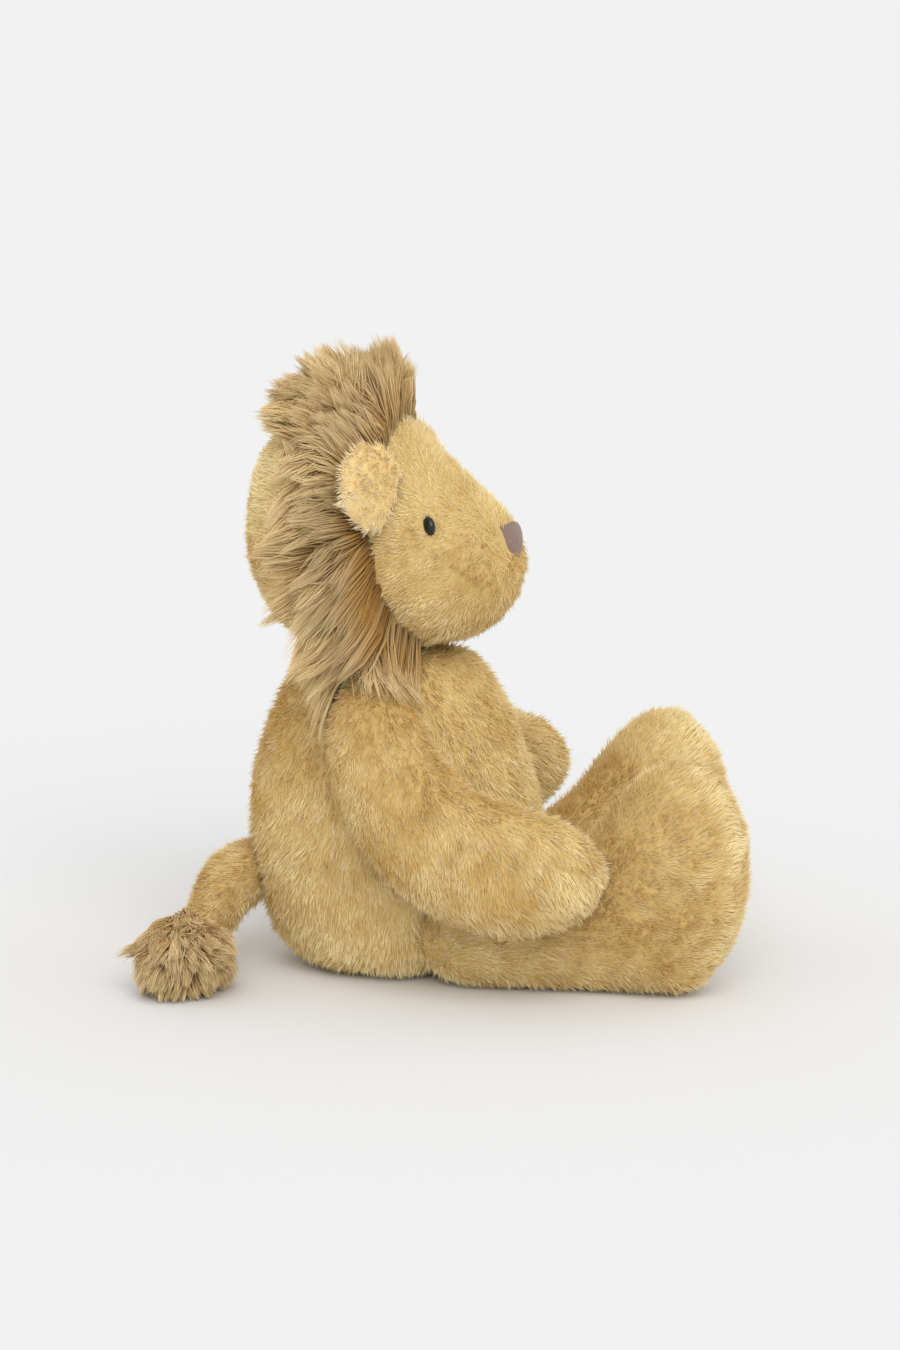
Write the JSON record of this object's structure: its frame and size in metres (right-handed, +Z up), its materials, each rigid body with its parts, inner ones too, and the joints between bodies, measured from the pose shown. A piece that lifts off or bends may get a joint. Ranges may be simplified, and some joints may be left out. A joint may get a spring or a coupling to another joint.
{
  "type": "plush lion",
  "caption": "Sitting stuffed plush lion with a shaggy mane round the face, bead eyes, curved arms, long upright feet and a tufted tail.",
  "frame": {"origin": "middle of the footprint on the surface that the lion sits on", "axes": "+X the way the body and the legs point, +Y the lion's left, +Z up"},
  "size_m": [0.2048, 0.1824, 0.2144],
  "materials": {
    "honey_plush": "short-pile plush, honey yellow",
    "cream_plush": "short-pile plush, paler",
    "mane_pile": "long clumped pile, brown roots and pale tips",
    "nose_suede": "suede cloth, mauve brown",
    "eye_bead": "glossy black",
    "washer": "moulded, hidden",
    "stuffing": "white fibre, hidden",
    "bag_cloth": "woven, hidden"
  },
  "bodies": {
    "torso": {"torso_cover": "honey_plush", "torso_stuffing": "stuffing", "pellet_bag": "bag_cloth"},
    "head": {"head_back_panel": "honey_plush", "face_panel": "honey_plush", "head_stuffing": "stuffing", "mane": "mane_pile", "right_ear": "cream_plush", "left_ear": "cream_plush", "nose_patch": "nose_suede", "right_eye": "eye_bead", "left_eye": "eye_bead", "right_eye_washer": "washer", "left_eye_washer": "washer"},
    "right_arm": {"right_arm_cover": "honey_plush", "right_arm_stuffing": "stuffing"},
    "left_arm": {"left_arm_cover": "honey_plush", "left_arm_stuffing": "stuffing"},
    "right_leg": {"right_leg_cover": "honey_plush", "right_sole": "honey_plush", "right_leg_stuffing": "stuffing"},
    "left_leg": {"left_leg_cover": "honey_plush", "left_sole": "honey_plush", "left_leg_stuffing": "stuffing"},
    "tail": {"tail_cover": "honey_plush", "tail_stuffing": "stuffing", "tail_tuft": "mane_pile"}
  },
  "joints": [
    {"name": "neck_turn", "type": "hinge", "parent": "torso", "child": "head", "pos_m": [-0.01899, -0.00646, 0.1089], "axis": [0, 0, 1], "range_deg": [-14, 52]},
    {"name": "right_shoulder_swing", "type": "hinge", "parent": "torso", "child": "right_arm", "pos_m": [-0.01899, -0.04151, 0.09], "axis": [0, -1, 0], "range_deg": [-10, 45]},
    {"name": "left_shoulder_swing", "type": "hinge", "parent": "torso", "child": "left_arm", "pos_m": [-0.01899, 0.02858, 0.09], "axis": [0, -1, 0], "range_deg": [-10, 45]},
    {"name": "right_hip_swing", "type": "hinge", "parent": "torso", "child": "right_leg", "pos_m": [0.01101, -0.03597, 0.0195], "axis": [0, -1, 0], "range_deg": [-45, 3]},
    {"name": "left_hip_swing", "type": "hinge", "parent": "torso", "child": "left_leg", "pos_m": [0.01101, 0.02304, 0.0195], "axis": [0, -1, 0], "range_deg": [-45, 3]},
    {"name": "tail_swing", "type": "hinge", "parent": "torso", "child": "tail", "pos_m": [-0.06425, -0.00646, 0.031], "axis": [0, 0, 1], "range_deg": [-60, 5]}
  ]
}
